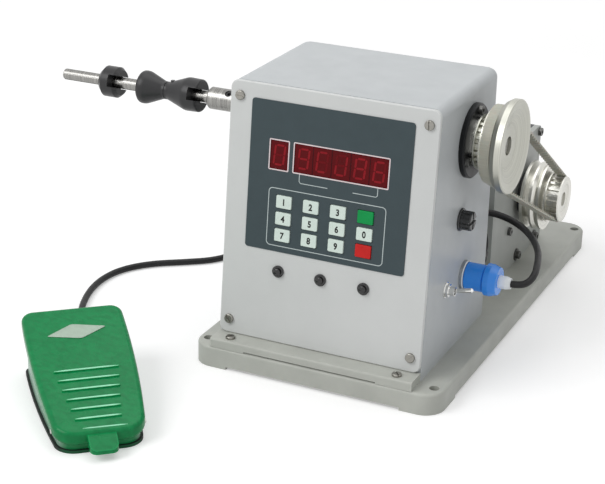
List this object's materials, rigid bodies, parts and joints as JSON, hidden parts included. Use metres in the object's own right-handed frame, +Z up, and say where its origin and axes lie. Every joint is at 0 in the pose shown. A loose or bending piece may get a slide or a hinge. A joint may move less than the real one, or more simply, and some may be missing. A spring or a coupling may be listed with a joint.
{
  "type": "wire coil winding machine",
  "caption": "Bench coil winder: leaning counter panel with keypad, belt driven spindle with clamping cones, rear motor on one base, and a foot pedal on a cord.",
  "frame": {"origin": "centre of the base's four mounting holes, on the surface the machine stands on", "axes": "+Z up, -Y towards the operator and the counter panel, -X along the winding shaft towards its free end"},
  "size_m": [0.3468, 0.4644, 0.187],
  "materials": {
    "base_paint": "grey hammer paint on cast iron, a little glossy",
    "housing_paint": "smooth silver grey paint",
    "panel_metal": "satin anodised plate with bright chamfered edges",
    "overlay_film": "printed film, dark blue grey, slight grain",
    "window_red": "dark red clear filter",
    "digit_black": "black display housings with red segments",
    "board_green": "solder mask",
    "key_white": "moulded key cap",
    "key_green": "moulded key cap",
    "key_red": "moulded key cap",
    "bezel_chrome": "plated ring",
    "button_black": "moulded plunger",
    "screw_steel": "zinc plated",
    "screw_black": "blackened steel",
    "flange_black": "blackened steel",
    "bearing_steel": "ground rings and pressed shields",
    "spindle_steel": "ground and polished",
    "cone_black": "turned and blackened steel",
    "pulley_steel": "turned and polished",
    "belt_polymer": "cream green polyurethane",
    "bracket_paint": "grey paint",
    "motor_paint": "dark grey paint",
    "cable_black": "flexible sheath",
    "fuse_black": "moulded phenolic",
    "toggle_chrome": "plated bushing, nut and lever",
    "socket_metal": "plated shell",
    "plug_blue": "moulded body",
    "gland_grey": "moulded strain relief",
    "core_steel": "varnished laminations and taped winding",
    "pedal_green": "glossy green enamel on a casting",
    "pedal_body_green": "grey green enamel",
    "sole_rubber": "ribbed rubber",
    "pin_steel": "plain",
    "spring_steel": "wound wire",
    "switch_black": "moulded switch block",
    "disc_aluminium": "plain sheet"
  },
  "bodies": {
    "machine": {"base_plate": "base_paint", "housing_floor": "base_paint", "housing_shell": "housing_paint", "front_panel": "panel_metal", "keypad_overlay": "overlay_film", "display_windows": "window_red", "digit_modules": "digit_black", "control_board": "board_green", "button_bezels": "bezel_chrome", "slotted_screws": "screw_steel", "cap_screws": "screw_black", "bearing_flanges": "flange_black", "spindle_bearings": "bearing_steel", "turn_sensor": "switch_black", "drive_belt": "belt_polymer", "motor_bracket": "bracket_paint", "motor_body": "motor_paint", "motor_lead": "cable_black", "fuse_holder": "fuse_black", "toggle_switch": "toggle_chrome", "pedal_socket": "socket_metal", "plug_shell": "plug_blue", "plug_gland": "gland_grey", "power_transformer": "core_steel", "pedal_base": "pedal_body_green", "pedal_sole": "sole_rubber", "pivot_pin": "pin_steel", "treadle_spring": "spring_steel", "micro_switch": "switch_black", "cord_coil": "cable_black", "pedal_cord": "cable_black", "plug_cord": "cable_black"},
    "winding_spindle": {"spindle": "spindle_steel", "set_screws": "screw_black", "winding_shaft": "spindle_steel", "inner_cone": "cone_black", "count_disc": "disc_aluminium", "spindle_pulley": "pulley_steel"},
    "motor_rotor": {"motor_shaft": "spindle_steel", "motor_pulley": "pulley_steel"},
    "outer_cone_body": {"outer_cone": "cone_black"},
    "clamp_collar_body": {"clamp_collar": "cone_black"},
    "fuse_cap_body": {"fuse_cap": "fuse_black"},
    "toggle_lever_body": {"toggle_lever": "toggle_chrome"},
    "treadle_body": {"treadle": "pedal_green"},
    "button_left_body": {"button_left": "button_black"},
    "button_middle_body": {"button_middle": "button_black"},
    "button_right_body": {"button_right": "button_black"},
    "key_1_body": {"key_1": "key_white"},
    "key_2_body": {"key_2": "key_white"},
    "key_3_body": {"key_3": "key_white"},
    "key_4_body": {"key_4": "key_white"},
    "key_5_body": {"key_5": "key_white"},
    "key_6_body": {"key_6": "key_white"},
    "key_7_body": {"key_7": "key_white"},
    "key_8_body": {"key_8": "key_white"},
    "key_9_body": {"key_9": "key_white"},
    "key_0_body": {"key_0": "key_white"},
    "key_start_body": {"key_start": "key_green"},
    "key_reset_body": {"key_reset": "key_red"}
  },
  "joints": [
    {"name": "spindle_turn", "type": "hinge", "parent": "machine", "child": "winding_spindle", "pos_m": [-0.12, -0.0752, 0.1521], "axis": [1, 0, 0], "continuous": true, "deforming": ["drive_belt"]},
    {"name": "motor_turn", "type": "hinge", "parent": "machine", "child": "motor_rotor", "pos_m": [0.06, 0.07437, 0.0661], "axis": [1, 0, 0], "continuous": true, "deforming": ["drive_belt"]},
    {"name": "outer_cone_slide", "type": "slide", "parent": "winding_spindle", "child": "outer_cone_body", "axis": [-1, 0, 0], "range_m": [0, 0.015]},
    {"name": "clamp_collar_slide", "type": "slide", "parent": "winding_spindle", "child": "clamp_collar_body", "axis": [-1, 0, 0], "range_m": [0, 0.028]},
    {"name": "key_1_press", "type": "slide", "parent": "machine", "child": "key_1_body", "axis": [0, 0.9954, -0.0958], "range_m": [0, 0.0005], "stiffness_N_per_m": 400, "springref_m": -0.0005},
    {"name": "key_2_press", "type": "slide", "parent": "machine", "child": "key_2_body", "axis": [0, 0.9954, -0.0958], "range_m": [0, 0.0005], "stiffness_N_per_m": 400, "springref_m": -0.0005},
    {"name": "key_3_press", "type": "slide", "parent": "machine", "child": "key_3_body", "axis": [0, 0.9954, -0.0958], "range_m": [0, 0.0005], "stiffness_N_per_m": 400, "springref_m": -0.0005},
    {"name": "key_4_press", "type": "slide", "parent": "machine", "child": "key_4_body", "axis": [0, 0.9954, -0.0958], "range_m": [0, 0.0005], "stiffness_N_per_m": 400, "springref_m": -0.0005},
    {"name": "key_5_press", "type": "slide", "parent": "machine", "child": "key_5_body", "axis": [0, 0.9954, -0.0958], "range_m": [0, 0.0005], "stiffness_N_per_m": 400, "springref_m": -0.0005},
    {"name": "key_6_press", "type": "slide", "parent": "machine", "child": "key_6_body", "axis": [0, 0.9954, -0.0958], "range_m": [0, 0.0005], "stiffness_N_per_m": 400, "springref_m": -0.0005},
    {"name": "key_7_press", "type": "slide", "parent": "machine", "child": "key_7_body", "axis": [0, 0.9954, -0.0958], "range_m": [0, 0.0005], "stiffness_N_per_m": 400, "springref_m": -0.0005},
    {"name": "key_8_press", "type": "slide", "parent": "machine", "child": "key_8_body", "axis": [0, 0.9954, -0.0958], "range_m": [0, 0.0005], "stiffness_N_per_m": 400, "springref_m": -0.0005},
    {"name": "key_9_press", "type": "slide", "parent": "machine", "child": "key_9_body", "axis": [0, 0.9954, -0.0958], "range_m": [0, 0.0005], "stiffness_N_per_m": 400, "springref_m": -0.0005},
    {"name": "key_0_press", "type": "slide", "parent": "machine", "child": "key_0_body", "axis": [0, 0.9954, -0.0958], "range_m": [0, 0.0005], "stiffness_N_per_m": 400, "springref_m": -0.0005},
    {"name": "key_start_press", "type": "slide", "parent": "machine", "child": "key_start_body", "axis": [0, 0.9954, -0.0958], "range_m": [0, 0.0005], "stiffness_N_per_m": 400, "springref_m": -0.0005},
    {"name": "key_reset_press", "type": "slide", "parent": "machine", "child": "key_reset_body", "axis": [0, 0.9954, -0.0958], "range_m": [0, 0.0005], "stiffness_N_per_m": 400, "springref_m": -0.0005},
    {"name": "button_left_press", "type": "slide", "parent": "machine", "child": "button_left_body", "axis": [0, 0.9954, -0.0958], "range_m": [0, 0.0015], "stiffness_N_per_m": 300, "springref_m": -0.001},
    {"name": "button_middle_press", "type": "slide", "parent": "machine", "child": "button_middle_body", "axis": [0, 0.9954, -0.0958], "range_m": [0, 0.0015], "stiffness_N_per_m": 300, "springref_m": -0.001},
    {"name": "button_right_press", "type": "slide", "parent": "machine", "child": "button_right_body", "axis": [0, 0.9954, -0.0958], "range_m": [0, 0.0015], "stiffness_N_per_m": 300, "springref_m": -0.001},
    {"name": "fuse_cap_turn", "type": "hinge", "parent": "machine", "child": "fuse_cap_body", "pos_m": [0.075, -0.0871, 0.1027], "axis": [1, 0, 0], "range_deg": [0, 60]},
    {"name": "toggle_tilt", "type": "hinge", "parent": "machine", "child": "toggle_lever_body", "pos_m": [0.0715, -0.1081, 0.0622], "axis": [0, 1, 0], "range_deg": [0, 25]},
    {"name": "treadle_press", "type": "hinge", "parent": "machine", "child": "treadle_body", "pos_m": [-0.08353, -0.27969, 0.0103], "axis": [-0.7547, -0.6561, 0], "range_deg": [0, 2.5], "stiffness_Nm_per_rad": 6, "springref_deg": -5.73, "deforming": ["treadle_spring"]}
  ],
  "couplings": [
    {"joint": "motor_turn", "follows": "spindle_turn", "ratio": 1.5}
  ]
}
